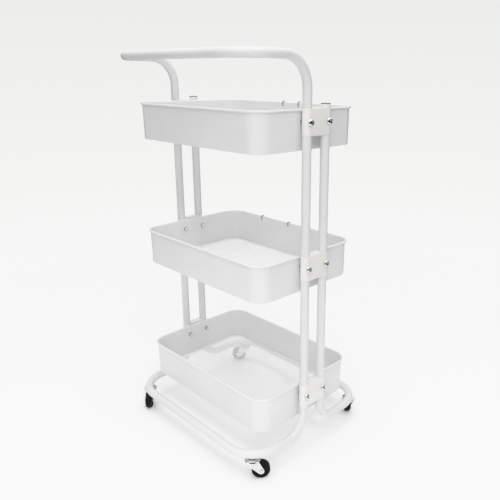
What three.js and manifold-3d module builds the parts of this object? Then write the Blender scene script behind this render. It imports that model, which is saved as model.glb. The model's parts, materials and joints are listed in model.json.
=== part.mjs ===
// A rolling utility cart: three trays bolted between two bent-tube frames, on four swivel casters.
// Millimetres, +Z up. The origin is on the floor under the middle of the cart. +X runs along the trays
// and is called right, -Y is the side that the push handle leans over and is called front.

import * as THREE from 'three';
import { mergeVertices } from 'three/addons/utils/BufferGeometryUtils.js';
import Module from 'manifold-3d';

const wasm = await Module();
wasm.setup();

// ---- Driving dimensions ----

const FIT = 0.3;                  // gap between two pieces that touch

// Tube frames
const TUBE_R = 9.5;
const BORE_R = 8.3;
const POST_X = 221;               // the posts stand outside the trays' short walls
const POST_Y = 27;                // half the spacing between the front and the back posts
const BAR_Y = 184;                // how far the handle bar and the base bars stand out
const HANDLE_BEND_R = 62;         // where a post turns into an arm of the handle
const BASE_BEND_R = 50;           // and where it turns into an arm of a base
const CORNER_R = 70;              // where an arm turns into the handle bar or a base bar
const HANDLE_Z = 873;
const BASE_Z = 56.5;
const TUBE_SIDES = 12;
const BEND_STEPS = 4;

// Trays
const TIERS = ['bottom', 'middle', 'top'];
const LOWEST_RIM_Z = 173;
const TIER_PITCH = 300;
const RIM_HALF_X = 210;
const RIM_HALF_Y = 147.5;
const RIM_CORNER_R = 39;
const RIM_ROLL = 5;               // the rolled rim's height, and its width with the wall
const ROLL_EDGE = 1.4;            // flat cut on the roll's outer edges
const INNER_EDGE = 1;             // and on its inner edge
const WALL = 1.2;
const TRAY_DEPTH = 82;
const WALL_TAPER = 1.2;           // the walls lean in by this much from rim to floor
const FLANGE = 8;                 // lip under the floor that the mesh is welded to
const FLOOR_THICKNESS = 1.2;
const CORNER_STEPS = 6;

// Connectors and fasteners
const CONNECTOR_ABOVE_RIM = 2;
const CONNECTOR_BELOW_RIM = 52;
const SLEEVE_R = 10;               // a sleeve stands slightly proud of the tubes
const SPIGOT_R = 7.9;
const SPIGOT_LENGTH = 16;
const WEB_INNER_X = 212.5;
const WEB_OUTER_X = 230.5;        // nearly flush with the outside of the sleeves
const PAD_OUTER_X = 217;          // the pad reaches from inside the web to the tray's wall
const PAD_HALF_Y = 20;
const PAD_ABOVE_BOTTOM = 2;
const PAD_BELOW_ROLL = 2;
const STUB_HEIGHT = 6;            // the back sleeves of the top tier end this far above the web
const SOCKET_DEPTH = 17;          // room for a cap's plug in a stub
const CAP_R = 10.2;
const CAP_EDGE_R = 9.4;           // the cap's top, inside its sloped edge
const CAP_HEIGHT = 2;
const CAP_PLUG_R = 7.4;
const CAP_PLUG_LENGTH = 15;
const BOLT_BELOW_RIM = 25;
const BOLT_R = 2.3;
const BOLT_HOLE_R = 2.9;
const BOLT_HEAD_R = 7;
const BOLT_HEAD_HEIGHT = 5;
const BOLT_CROWN_R = 5.6;         // where the head's flank turns into its crown
const BOLT_CROWN_HEIGHT = 3.4;
const WASHER_R = 6.5;
const WASHER_THICKNESS = 1.2;
const NUT_R = 5;
const NUT_HEIGHT = 6.8;           // cap nut, with a domed end
const NUT_DOME_HEIGHT = 3.5;
const NUT_CROWN_R = 3.5;
const NUT_CROWN_HEIGHT = 1;

// Hooks
const HOOK_WIRE_R = 1.2;
const HOOK_PLAY = 0.5;            // extra room between a hook and the inside of the rim
const HOOK_CREST_R = 2;
const HOOK_FOOT_R = 5.5;
const HOOK_INNER_LEG = 10;
const HOOK_OUTER_LEG = 34;
const HOOK_CURL_OUT = 12;
const HOOK_CURL_UP = 10;
const TOP_HOOK_X = [-16, 36];
const MIDDLE_HOOK_X = [-95, 3];

// Casters
const STEM_INSET = CORNER_R * (1 - Math.SQRT1_2);
const STEM_X = POST_X - STEM_INSET;
const STEM_Y = BAR_Y - STEM_INSET;
const STEM_R = 4;
const STEM_HOLE_R = 4.5;
const STEM_TOP_Z = 60;
const CUP_LOW_Z = 44;             // the pressed bearing cup, widest part way up
const CUP_LOW_R = 13;
const CUP_WIDEST_Z = 45.2;
const CUP_WIDEST_R = 14;
const CUP_TOP_Z = 46.7;
const CUP_TOP_R = 12;
const PIN_R = 3.4;                // the riveted pin that holds the fork
const RIVET_R = 6;
const RIVET_LOW_Z = 37.4;
const RIVET_HIGH_Z = 40.2;
const PLATE_R = 17;
const PLATE_LOW_Z = 40.8;
const PLATE_HIGH_Z = 43.4;
const CHEEK_INNER_Y = 9;
const CHEEK_OUTER_Y = 11;
const CHEEK_HALF_TOP = 13.5;
const CHEEK_SKIRT = 4;            // depth of the cheek's straight front edge
const CHEEK_END_R = 7;            // round end at the axle
const CHEEK_END_START = 1.25 * Math.PI;
const CHEEK_END_STOP = 2.15 * Math.PI;
const TRAIL = 18;                 // from the swivel axis to the axle
const WHEEL_R = 20;
const TREAD_HALF_WIDTH = 5.4;
const SHOULDER_R = 18.6;
const FACE_HALF_WIDTH = 7.2;
const HUB_FOOT_R = 9;
const HUB_R = 7;
const HUB_HALF_WIDTH = 8.6;
const AXLE_R = 2.5;
const AXLE_HOLE_R = 3;
const AXLE_HEAD_R = 4.2;
const AXLE_HEAD_EDGE_Y = 12.3;
const AXLE_HEAD_TOP_Y = 12.8;
const THROUGH = 60;               // longer than any hole is deep
const CASTERS = [
  { place: 'front_right', side: 1, end: -1, heading: 50 },
  { place: 'front_left', side: -1, end: -1, heading: -44 },
  { place: 'back_right', side: 1, end: 1, heading: 142 },
  { place: 'back_left', side: -1, end: 1, heading: 224 },
];

const SIDES = [{ side: -1, sideName: 'left' }, { side: 1, sideName: 'right' }];
const ENDS = [{ end: -1, endName: 'front' }, { end: 1, endName: 'back' }];

// ---- Materials ----

function paint(color, roughness, metalness) {
  return new THREE.MeshStandardMaterial({ color, roughness, metalness });
}

const whitePowderCoat = paint(0xeceeef, 0.45, 0);
const ivoryPlastic = paint(0xebe8de, 0.5, 0);
const greyPlastic = paint(0x77797c, 0.5, 0);
const chromePlate = paint(0xb9bbbd, 0.2, 1);
const zincPlate = paint(0xc4c6c8, 0.3, 1);
const blackRubber = paint(0x17181a, 0.7, 0);

const cart = new THREE.Group();

function add(name, geometry, material, parent = cart) {
  const mesh = new THREE.Mesh(geometry, material);
  mesh.name = name;
  parent.add(mesh);
}

// ---- Shape helpers ----

// A closed mesh as a manifold-3d solid.
function solid(geometry) {
  const bare = geometry.clone();
  bare.deleteAttribute('normal');
  bare.deleteAttribute('uv');
  const merged = mergeVertices(bare, 1e-4);
  const mesh = new wasm.Mesh({
    numProp: 3,
    vertProperties: new Float32Array(merged.attributes.position.array),
    triVerts: new Uint32Array(merged.index.array),
  });
  return new wasm.Manifold(mesh);
}

// A manifold-3d solid as a three.js geometry.
function geometryOf(manifold) {
  const mesh = manifold.getMesh();
  const geometry = new THREE.BufferGeometry();
  geometry.setAttribute('position', new THREE.BufferAttribute(new Float32Array(mesh.vertProperties), 3));
  geometry.setIndex(new THREE.BufferAttribute(new Uint32Array(mesh.triVerts), 1));
  return geometry;
}

// An upright cylinder from z0 to z1.
function upright(radius, z0, z1, sides = TUBE_SIDES) {
  const geometry = new THREE.CylinderGeometry(radius, radius, z1 - z0, sides);
  return geometry.rotateX(Math.PI / 2).translate(0, 0, (z0 + z1) / 2);
}

// A box between two corners.
function block(x0, x1, y0, y1, z0, z1) {
  const geometry = new THREE.BoxGeometry(x1 - x0, y1 - y0, z1 - z0);
  return geometry.translate((x0 + x1) / 2, (y0 + y1) / 2, (z0 + z1) / 2);
}

// A turned piece round +Z from [radius, z] points that start and end on the axis, or close on themselves.
function turned(points, segments) {
  const profile = points.map(([radius, z]) => new THREE.Vector2(radius, z));
  return new THREE.LatheGeometry(profile, segments).rotateX(Math.PI / 2);
}

// A line through corner points, with a fillet at each inner corner. A straight is one step of the
// extrusion and a fillet is several, so that the steps go where the line bends.
class FilletedPath extends THREE.Curve {
  constructor(corners, radii, filletSteps) {
    super();
    this.pieces = [];
    let start = corners[0];
    for (let i = 1; i < corners.length - 1; i += 1) {
      const inward = corners[i].clone().sub(corners[i - 1]).normalize();
      const outward = corners[i + 1].clone().sub(corners[i]).normalize();
      const turn = inward.angleTo(outward);
      const radius = radii[i - 1];
      const reach = radius * Math.tan(turn / 2);
      const arcStart = corners[i].clone().addScaledVector(inward, -reach);
      const across = outward.clone().addScaledVector(inward, -inward.dot(outward)).normalize();
      this.pieces.push({ steps: 1, at: straight(start, arcStart) });
      this.pieces.push({ steps: filletSteps, at: arc(arcStart, inward, across, radius, turn) });
      start = corners[i].clone().addScaledVector(outward, reach);
    }
    this.pieces.push({ steps: 1, at: straight(start, corners[corners.length - 1]) });
    this.steps = this.pieces.reduce((sum, piece) => sum + piece.steps, 0);
  }

  getPoint(t) {
    let station = t * this.steps;
    for (const piece of this.pieces) {
      if (station <= piece.steps) {
        return piece.at(station / piece.steps);
      }
      station -= piece.steps;
    }
    return this.pieces[this.pieces.length - 1].at(1);
  }

  getUtoTmapping(u) {
    return u;
  }
}

function straight(from, to) {
  return (s) => from.clone().lerp(to, s);
}

function arc(start, tangent, across, radius, turn) {
  return (s) => start.clone()
    .addScaledVector(tangent, radius * Math.sin(turn * s))
    .addScaledVector(across, radius * (1 - Math.cos(turn * s)));
}

// A regular outline with a corner on each axis, so that the piece keeps its full width and height.
function ringShape(outerRadius, boreRadius, sides) {
  const corner = (radius, i) => new THREE.Vector2(
    radius * Math.cos((2 * Math.PI * i) / sides),
    radius * Math.sin((2 * Math.PI * i) / sides),
  );
  const corners = [...Array(sides).keys()];
  const shape = new THREE.Shape(corners.map((i) => corner(outerRadius, i)));
  if (boreRadius > 0) {
    shape.holes.push(new THREE.Path(corners.map((i) => corner(boreRadius, i))));
  }
  return shape;
}

function alongPath(shape, path) {
  return new THREE.ExtrudeGeometry(shape, { steps: path.steps, extrudePath: path, bevelEnabled: false });
}

// ---- Tube frames ----

// One bent tube: a post end, a bend, an arm, a corner and half a bar, twice.
function bentFrame(end, postEndZ, barZ, bendR) {
  const point = (side, y, z) => new THREE.Vector3(side * POST_X, end * y, z);
  const corners = [
    point(-1, POST_Y, postEndZ),
    point(-1, POST_Y, barZ),
    point(-1, BAR_Y, barZ),
    point(1, BAR_Y, barZ),
    point(1, POST_Y, barZ),
    point(1, POST_Y, postEndZ),
  ];
  const path = new FilletedPath(corners, [bendR, CORNER_R, CORNER_R, bendR], BEND_STEPS);
  return alongPath(ringShape(TUBE_R, BORE_R, TUBE_SIDES), path);
}

const rimZ = (tier) => LOWEST_RIM_Z + tier * TIER_PITCH;
const connectorTop = (tier) => rimZ(tier) + CONNECTOR_ABOVE_RIM;
const connectorBottom = (tier) => rimZ(tier) - CONNECTOR_BELOW_RIM;

function addHandle() {
  add('handle', bentFrame(-1, connectorTop(2) + FIT, HANDLE_Z, HANDLE_BEND_R), whitePowderCoat);
}

// Each base tube has a hole under each corner for a caster's stem.
function addBases() {
  for (const { end, endName } of ENDS) {
    let base = solid(bentFrame(end, connectorBottom(0) - FIT, BASE_Z, BASE_BEND_R));
    for (const { side } of SIDES) {
      const hole = upright(STEM_HOLE_R, BASE_Z - 2 * TUBE_R, BASE_Z, 8);
      base = base.subtract(solid(hole.translate(side * STEM_X, end * STEM_Y, 0)));
    }
    add(`base_${endName}`, geometryOf(base), whitePowderCoat);
  }
}

// The straight tubes between the connectors.
function addPosts() {
  const section = ringShape(TUBE_R, BORE_R, TUBE_SIDES);
  for (const { tier, level } of [{ tier: 0, level: 'lower' }, { tier: 1, level: 'upper' }]) {
    for (const { side, sideName } of SIDES) {
      for (const { end, endName } of ENDS) {
        const foot = new THREE.Vector3(side * POST_X, end * POST_Y, connectorTop(tier) + FIT);
        const head = new THREE.Vector3(side * POST_X, end * POST_Y, connectorBottom(tier + 1) - FIT);
        const post = alongPath(section, new FilletedPath([foot, head], [], 0));
        add(`${level}_tube_${endName}_${sideName}`, post, whitePowderCoat);
      }
    }
  }
}

// ---- Connectors ----

const padInnerX = RIM_HALF_X - RIM_ROLL + WALL + WALL_TAPER + FIT;

// Two sleeves joined by a web, with a spigot into each tube that meets them, a pad against the tray's
// wall and a bolt hole through each sleeve. On the top tier, the back sleeve is a short stub with a
// socket for an end cap, instead of an upper spigot.
function connector(tier) {
  const top = connectorTop(tier);
  const bottom = connectorBottom(tier);
  const boltZ = rimZ(tier) - BOLT_BELOW_RIM;
  const padTop = rimZ(tier) - RIM_ROLL - PAD_BELOW_ROLL;
  const pad = block(padInnerX, PAD_OUTER_X, -PAD_HALF_Y, PAD_HALF_Y, bottom + PAD_ABOVE_BOTTOM, padTop);
  let body = solid(block(WEB_INNER_X, WEB_OUTER_X, -POST_Y, POST_Y, bottom, top));
  body = body.add(solid(pad));
  for (const { end } of ENDS) {
    const capped = tier === 2 && end === 1;
    const sleeveTop = capped ? top + STUB_HEIGHT : top;
    const spigotTop = capped ? top : top + SPIGOT_LENGTH;
    const place = (geometry) => solid(geometry.translate(POST_X, end * POST_Y, 0));
    body = body.add(place(upright(SLEEVE_R, bottom, sleeveTop)));
    body = body.add(place(upright(SPIGOT_R, bottom - SPIGOT_LENGTH, spigotTop)));
    if (capped) {
      body = body.subtract(place(upright(SPIGOT_R, sleeveTop - SOCKET_DEPTH, sleeveTop + THROUGH)));
    }
    const bore = new THREE.CylinderGeometry(BOLT_HOLE_R, BOLT_HOLE_R, THROUGH, 8).rotateZ(Math.PI / 2);
    body = body.subtract(solid(bore.translate(POST_X, end * POST_Y, boltZ)));
  }
  return body;
}

function addConnectors() {
  TIERS.forEach((tierName, tier) => {
    const right = geometryOf(connector(tier));
    const left = geometryOf(connector(tier).mirror([1, 0, 0]));
    add(`connector_${tierName}_left`, left, ivoryPlastic);
    add(`connector_${tierName}_right`, right, ivoryPlastic);
  });
}

// A grey plug with a flat head closes each stub.
function addEndCaps() {
  const seat = connectorTop(2) + STUB_HEIGHT + FIT;
  const profile = [
    [0, seat - CAP_PLUG_LENGTH],
    [CAP_PLUG_R, seat - CAP_PLUG_LENGTH],
    [CAP_PLUG_R, seat],
    [CAP_R, seat],
    [CAP_R, seat + CAP_HEIGHT / 2],
    [CAP_EDGE_R, seat + CAP_HEIGHT],
    [0, seat + CAP_HEIGHT],
  ];
  for (const { side, sideName } of SIDES) {
    add(`end_cap_${sideName}`, turned(profile, TUBE_SIDES).translate(side * POST_X, POST_Y, 0), greyPlastic);
  }
}

// ---- Trays ----

// Sweeps a closed profile round a tray. Each profile point is [inset from the rim's outer edge, z].
function sweptRound(profile) {
  const stations = [];
  const quarters = [[1, 1], [-1, 1], [-1, -1], [1, -1]];
  quarters.forEach(([sx, sy], quarter) => {
    for (let step = 0; step <= CORNER_STEPS; step += 1) {
      const angle = (quarter + step / CORNER_STEPS) * (Math.PI / 2);
      stations.push({
        x: sx * (RIM_HALF_X - RIM_CORNER_R),
        y: sy * (RIM_HALF_Y - RIM_CORNER_R),
        cos: Math.cos(angle),
        sin: Math.sin(angle),
      });
    }
  });
  const positions = [];
  const indices = [];
  const count = profile.length;
  stations.forEach((station, i) => {
    for (const [inset, z] of profile) {
      const radius = RIM_CORNER_R - inset;
      positions.push(station.x + radius * station.cos, station.y + radius * station.sin, z);
    }
    const next = (i + 1) % stations.length;
    for (let j = 0; j < count; j += 1) {
      const k = (j + 1) % count;
      indices.push(i * count + j, i * count + k, next * count + j);
      indices.push(next * count + j, i * count + k, next * count + k);
    }
  });
  const geometry = new THREE.BufferGeometry();
  geometry.setAttribute('position', new THREE.Float32BufferAttribute(positions, 3));
  geometry.setIndex(indices);
  return geometry;
}

// The wall ring: a rim rolled outward at the top and a lip turned inward at the bottom.
function trayWall(tier) {
  const top = rimZ(tier);
  const bottom = top - TRAY_DEPTH;
  const wallTop = RIM_ROLL - WALL;
  const wallBottom = wallTop + WALL_TAPER;
  const profile = [
    [ROLL_EDGE, top],
    [0, top - ROLL_EDGE],
    [0, top - RIM_ROLL + ROLL_EDGE],
    [ROLL_EDGE, top - RIM_ROLL],
    [wallTop, top - RIM_ROLL],
    [wallBottom, bottom],
    [wallBottom + FLANGE, bottom],
    [wallBottom + FLANGE, bottom + WALL],
    [wallBottom + WALL, bottom + WALL],
    [RIM_ROLL, top - INNER_EDGE],
    [RIM_ROLL - INNER_EDGE, top],
  ];
  let ring = solid(sweptRound(profile));
  for (const { end } of ENDS) {
    const holes = new THREE.CylinderGeometry(BOLT_HOLE_R, BOLT_HOLE_R, 3 * RIM_HALF_X, 8);
    const acrossTray = holes.rotateZ(Math.PI / 2).translate(0, end * POST_Y, top - BOLT_BELOW_RIM);
    ring = ring.subtract(solid(acrossTray));
  }
  return geometryOf(ring);
}

// The mesh floor, as a plain plate of the mesh's thickness.
function trayFloor(tier) {
  const inset = RIM_ROLL + WALL_TAPER + FIT;
  const radius = RIM_CORNER_R - inset;
  const x = RIM_HALF_X - RIM_CORNER_R;
  const y = RIM_HALF_Y - RIM_CORNER_R;
  const outline = new THREE.Shape();
  outline.absarc(x, y, radius, 0, Math.PI / 2);
  outline.absarc(-x, y, radius, Math.PI / 2, Math.PI);
  outline.absarc(-x, -y, radius, Math.PI, 1.5 * Math.PI);
  outline.absarc(x, -y, radius, 1.5 * Math.PI, 2 * Math.PI);
  const plate = new THREE.ExtrudeGeometry(outline, {
    depth: FLOOR_THICKNESS,
    bevelEnabled: false,
    curveSegments: CORNER_STEPS / 2,
  });
  return plate.translate(0, 0, rimZ(tier) - TRAY_DEPTH + WALL + FIT);
}

function addTrays() {
  TIERS.forEach((tierName, tier) => {
    add(`tray_wall_${tierName}`, trayWall(tier), whitePowderCoat);
    add(`tray_floor_${tierName}`, trayFloor(tier), whitePowderCoat);
  });
}

// ---- Fasteners ----

// A dome-head bolt through a sleeve and the tray's wall, with its washer and cap nut, lying along +X.
function boltGeometry() {
  const headX = POST_X + SLEEVE_R + FIT;
  const washerX = RIM_HALF_X - RIM_ROLL - WALL_TAPER - FIT;
  const nutX = washerX - WASHER_THICKNESS;
  const profile = [
    [0, nutX - NUT_HEIGHT],
    [NUT_CROWN_R, nutX - NUT_HEIGHT + NUT_CROWN_HEIGHT],
    [NUT_R, nutX - NUT_HEIGHT + NUT_DOME_HEIGHT],
    [NUT_R, nutX],
    [WASHER_R, nutX],
    [WASHER_R, washerX],
    [BOLT_R, washerX],
    [BOLT_R, headX],
    [BOLT_HEAD_R, headX],
    [BOLT_CROWN_R, headX + BOLT_CROWN_HEIGHT],
    [0, headX + BOLT_HEAD_HEIGHT],
  ];
  return turned(profile, 8).rotateY(Math.PI / 2);
}

function addBolts() {
  TIERS.forEach((tierName, tier) => {
    for (const { side, sideName } of SIDES) {
      for (const { end, endName } of ENDS) {
        const bolt = boltGeometry();
        if (side === -1) {
          bolt.rotateZ(Math.PI);
        }
        bolt.translate(0, end * POST_Y, rimZ(tier) - BOLT_BELOW_RIM);
        add(`bolt_${tierName}_${endName}_${sideName}`, bolt, chromePlate);
      }
    }
  });
}

// ---- Hooks ----

// A wire hook over the back rim: a short leg inside, a long one outside that curls up at its foot.
function hookGeometry(tier, x) {
  const clearance = HOOK_WIRE_R + FIT;
  const insideY = RIM_HALF_Y - RIM_ROLL - clearance - HOOK_PLAY;
  const outsideY = RIM_HALF_Y + clearance;
  const tipY = outsideY + HOOK_CURL_OUT;
  const point = (y, below) => new THREE.Vector3(x, y, rimZ(tier) + clearance - below);
  const corners = [
    point(insideY, HOOK_INNER_LEG),
    point(insideY, 0),
    point(outsideY, 0),
    point(outsideY, HOOK_OUTER_LEG),
    point(tipY, HOOK_OUTER_LEG),
    point(tipY, HOOK_OUTER_LEG - HOOK_CURL_UP),
  ];
  const radii = [HOOK_CREST_R, HOOK_CREST_R, HOOK_FOOT_R, HOOK_FOOT_R];
  return alongPath(ringShape(HOOK_WIRE_R, 0, 6), new FilletedPath(corners, radii, 3));
}

function addHooks() {
  TOP_HOOK_X.forEach((x, i) => add(`hook_top_${i + 1}`, hookGeometry(2, x), chromePlate));
  MIDDLE_HOOK_X.forEach((x, i) => add(`hook_middle_${i + 1}`, hookGeometry(1, x), chromePlate));
}

// ---- Casters ----

// The fixed half: a threaded stem, the upper bearing cup, and the riveted pin that holds the fork.
const stemProfile = [
  [0, RIVET_LOW_Z],
  [RIVET_R, RIVET_LOW_Z],
  [RIVET_R, RIVET_HIGH_Z],
  [PIN_R, RIVET_HIGH_Z],
  [PIN_R, CUP_LOW_Z],
  [CUP_LOW_R, CUP_LOW_Z],
  [CUP_WIDEST_R, CUP_WIDEST_Z],
  [CUP_TOP_R, CUP_TOP_Z],
  [STEM_R, CUP_TOP_Z],
  [STEM_R, STEM_TOP_Z],
  [0, STEM_TOP_Z],
];

// The fork: a round plate under the bearing cup and two cheeks that trail back to the axle.
function forkGeometry() {
  const cheek = new THREE.Shape();
  cheek.moveTo(-CHEEK_HALF_TOP, PLATE_HIGH_Z);
  cheek.lineTo(-CHEEK_HALF_TOP, PLATE_HIGH_Z - CHEEK_SKIRT);
  cheek.absarc(TRAIL, WHEEL_R, CHEEK_END_R, CHEEK_END_START, CHEEK_END_STOP, false);
  cheek.lineTo(CHEEK_HALF_TOP, PLATE_HIGH_Z);
  const cheekPlate = () => new THREE.ExtrudeGeometry(cheek, {
    depth: CHEEK_OUTER_Y - CHEEK_INNER_Y,
    bevelEnabled: false,
    curveSegments: 6,
  }).rotateX(Math.PI / 2);
  let fork = solid(upright(PLATE_R, PLATE_LOW_Z, PLATE_HIGH_Z, 16));
  fork = fork.add(solid(cheekPlate().translate(0, CHEEK_OUTER_Y, 0)));
  fork = fork.add(solid(cheekPlate().translate(0, -CHEEK_INNER_Y, 0)));
  fork = fork.subtract(solid(upright(STEM_R, PLATE_LOW_Z - 1, PLATE_HIGH_Z + 1, 8)));
  const axleHole = new THREE.CylinderGeometry(AXLE_HOLE_R, AXLE_HOLE_R, THROUGH, 8);
  return geometryOf(fork.subtract(solid(axleHole.translate(TRAIL, 0, WHEEL_R))));
}

const wheelProfile = [
  [AXLE_HOLE_R, -HUB_HALF_WIDTH],
  [HUB_R, -HUB_HALF_WIDTH],
  [HUB_FOOT_R, -FACE_HALF_WIDTH],
  [SHOULDER_R, -FACE_HALF_WIDTH],
  [WHEEL_R, -TREAD_HALF_WIDTH],
  [WHEEL_R, TREAD_HALF_WIDTH],
  [SHOULDER_R, FACE_HALF_WIDTH],
  [HUB_FOOT_R, FACE_HALF_WIDTH],
  [HUB_R, HUB_HALF_WIDTH],
  [AXLE_HOLE_R, HUB_HALF_WIDTH],
  [AXLE_HOLE_R, -HUB_HALF_WIDTH],
];

// The axle rivet, with a flat head outside each cheek.
const axleProfile = [
  [0, -AXLE_HEAD_TOP_Y],
  [AXLE_HEAD_R, -AXLE_HEAD_EDGE_Y],
  [AXLE_HEAD_R, -CHEEK_OUTER_Y - FIT],
  [AXLE_R, -CHEEK_OUTER_Y - FIT],
  [AXLE_R, CHEEK_OUTER_Y + FIT],
  [AXLE_HEAD_R, CHEEK_OUTER_Y + FIT],
  [AXLE_HEAD_R, AXLE_HEAD_EDGE_Y],
  [0, AXLE_HEAD_TOP_Y],
];

function addCasters() {
  for (const { place, side, end, heading } of CASTERS) {
    const swivel = new THREE.Group();
    swivel.position.set(side * STEM_X, end * STEM_Y, 0);
    swivel.rotation.z = THREE.MathUtils.degToRad(heading);
    cart.add(swivel);
    const axle = new THREE.Group();
    axle.position.set(TRAIL, 0, WHEEL_R);
    axle.rotation.x = Math.PI / 2;
    swivel.add(axle);
    add(`caster_stem_${place}`, turned(stemProfile, TUBE_SIDES), zincPlate, swivel);
    add(`caster_fork_${place}`, forkGeometry(), zincPlate, swivel);
    add(`caster_wheel_${place}`, turned(wheelProfile, 20), blackRubber, axle);
    add(`caster_axle_${place}`, turned(axleProfile, 8), zincPlate, axle);
  }
}

addHandle();
addBases();
addPosts();
addConnectors();
addEndCaps();
addTrays();
addBolts();
addHooks();
addCasters();

export default cart;
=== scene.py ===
"""The looks of a rolling utility cart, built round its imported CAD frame.

Every piece stands for one CAD node and rides on that node's body. Shapes are worked out in millimetres
in the frame's own axes (+X right along the trays, -Y front, +Z up) and stored in metres.
"""

import json
import math

import bmesh
import bpy
from mathutils import Matrix, Vector


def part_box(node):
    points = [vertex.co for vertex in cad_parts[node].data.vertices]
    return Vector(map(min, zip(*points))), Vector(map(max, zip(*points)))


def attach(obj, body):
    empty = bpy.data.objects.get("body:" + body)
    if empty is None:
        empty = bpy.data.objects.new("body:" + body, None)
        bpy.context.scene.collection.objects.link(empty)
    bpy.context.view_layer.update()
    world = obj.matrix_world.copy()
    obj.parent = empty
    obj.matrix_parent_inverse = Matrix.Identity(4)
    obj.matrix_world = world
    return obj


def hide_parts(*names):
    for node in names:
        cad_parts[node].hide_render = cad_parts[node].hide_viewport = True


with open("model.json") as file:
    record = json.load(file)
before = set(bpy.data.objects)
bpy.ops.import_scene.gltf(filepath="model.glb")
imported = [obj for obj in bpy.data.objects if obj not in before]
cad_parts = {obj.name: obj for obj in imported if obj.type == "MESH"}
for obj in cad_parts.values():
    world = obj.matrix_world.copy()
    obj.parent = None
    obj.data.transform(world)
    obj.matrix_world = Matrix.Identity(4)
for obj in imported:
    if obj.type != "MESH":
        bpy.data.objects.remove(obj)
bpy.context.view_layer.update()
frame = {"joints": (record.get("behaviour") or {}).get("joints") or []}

MM = 0.001
TIERS = ("bottom", "middle", "top")
SIDES = (("left", -1), ("right", 1))
ENDS = (("front", -1), ("back", 1))


# ---- Dimensions, in millimetres ----

FIT = 0.3                     # gap between two pieces that touch

TUBE_R = 9.5
BORE_R = 8.3
HANDLE_BEND_R = 62            # where a post turns into an arm of the handle
BASE_BEND_R = 50              # and where it turns into an arm of a base
CORNER_R = 70                 # where an arm turns into the handle bar or a base bar
TUBE_SEGMENTS = 56
TURN_STEP = math.radians(5)   # one step along a bend

RIM_CORNER_R = 39
RIM_ROLL = 5
HEM_TURN = math.radians(300)  # how far round the rim is rolled
HEM_STEPS = 20
WALL = 1.2
WALL_TAPER = 1.2              # the walls lean in by this much from rim to floor
TRAY_DEPTH = 82
FLANGE = 8                    # lip under the floor
FLOOR_BEND_R = 1.6            # where the wall turns into the lip
LIP_EDGE_R = 0.4
INSIDE_BEND_R = 0.3
TRAY_CORNER_STEPS = 20
TRAY_DRILL = 15               # reaches through one wall of a tray

FLOOR_CORNER_STEPS = 10
MESH_PITCH = 2.6              # from wire to wire
MESH_WIRE_R = 0.22
WIRE_SIDES = 4
WIRE_END_INSET = 1            # the wires end this far inside the sheet's edge
BAND_WIDTH = 4                # flat edge that is welded to the tray's lip
BAND_EDGE = 0.1

SLEEVE_R = 10                 # a sleeve stands slightly proud of the tubes
SPIGOT_R = 7.9
SPIGOT_LENGTH = 16
SPIGOT_EDGE = 0.8
WEB_INNER_X = 212.5
WEB_OUTER_X = 230.5
WEB_FILLET = 8                # where the web runs out into a sleeve
PAD_HALF_Y = 20
PAD_OUTER_X = 217
PAD_ABOVE_BOTTOM = 2
PAD_BELOW_RIM = 7
PAD_CORNER_R = 1
PAD_EDGE = 0.6
CONNECTOR_EDGE = 0.9
BOLT_HOLE_R = 2.9
THROUGH = 30                  # reaches through a connector or a fork from its middle
STUB_HEIGHT = 6               # the back sleeves of the top tier end this far above the web
STUB_ROOT = 3                 # and start this far below its top
STUB_EDGE_R = 0.6
STUB_SOCKET = 17
CAP_R = 10.2
CAP_EDGE_R = 0.9
CAP_CROWN = 0.5               # the cap's middle stands this far above its edge
CAP_UNDER_R = 0.3
CAP_PLUG_R = 7.4
CAP_PLUG_LENGTH = 15
CAP_PLUG_EDGE_R = 0.8

BOLT_SEGMENTS = 48
BOLT_R = 2.3
BOLT_HEAD_R = 7
BOLT_HEAD_HEIGHT = 5
HEAD_FOOT = 0.3               # bevel where the head meets the connector
HEAD_SKIRT = 0.9              # straight flank under the head's dome
HEAD_DOME_FROM = 8            # the part of a quarter turn that the dome takes, in degrees
HEAD_DOME_TURN = 66
HEAD_CROWN_R = 0.55           # these three shape the dome between a cone and a half ball
HEAD_FULLNESS = 0.8
HEAD_RISE = 0.97
DOME_STEPS = 8
SOCKET_R = 3.7
SOCKET_DEPTH = 3
SOCKET_LIP = 0.35             # round lip between the dome and the socket
SOCKET_SUNK = 0.15
SOCKET_DRAFT = 0.1
SOCKET_CONE = 0.3             # drill point in the socket's floor
SOCKET_CONE_R = 0.4
WASHER_R = 6.5
WASHER_THICKNESS = 1.2
WASHER_EDGE = 0.25
NUT_R = 5
NUT_LENGTH = 6.8
NUT_DOME = 3.4
NUT_DOME_STEP = 0.5           # the dome is this much narrower than the nut's flats
NUT_EDGE = 0.3

HOOK_WIRE_R = 1.2
HOOK_INNER_LEG = 10
HOOK_CREST_R = 2.6
HOOK_FOOT_R = 5.8
HOOK_CURL_OUT = 12
HOOK_CURL_UP = 10
HOOK_SEGMENTS = 20

STEM_R = 4
STEM_HOLE_R = 4.5
STEM_TOP = 60
RIVET_R = 6                   # head of the pin that holds the fork, under its plate
RIVET_LOW = 37.4
RIVET_HIGH = 40.2
PIN_R = 3.4
CUP_LOW = 44                  # the pressed bearing cup
CUP_WIDEST = 45.2
CUP_TOP = 46.7
CUP_R = 13.2
CUP_TOP_R = 9
CUP_LIP_OUTER_R = 12.4        # lip turned under the cup
CUP_LIP_INNER_R = 11.2
CUP_SHOULDER_R = 12.6
CUP_SHOULDER_DROP = 0.3
CUP_RECESS = 0.4
CUP_RECESS_R = 10.6
PLATE_R = 17
PLATE_LOW = 40.8
PLATE_HIGH = 43.4
PLATE_EDGE_R = 1.2
RACE_OUTER_R = 15.2           # ball track pressed into the plate
RACE_INNER_R = 6.4
RACE_SLOPE = 1
RACE_DEPTH = 1.3
CHEEK_IN = 9
CHEEK_OUT = 11
CHEEK_BEND_R = 3              # where the plate turns down into a cheek
CHEEK_HALF_TOP = 13.5
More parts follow.
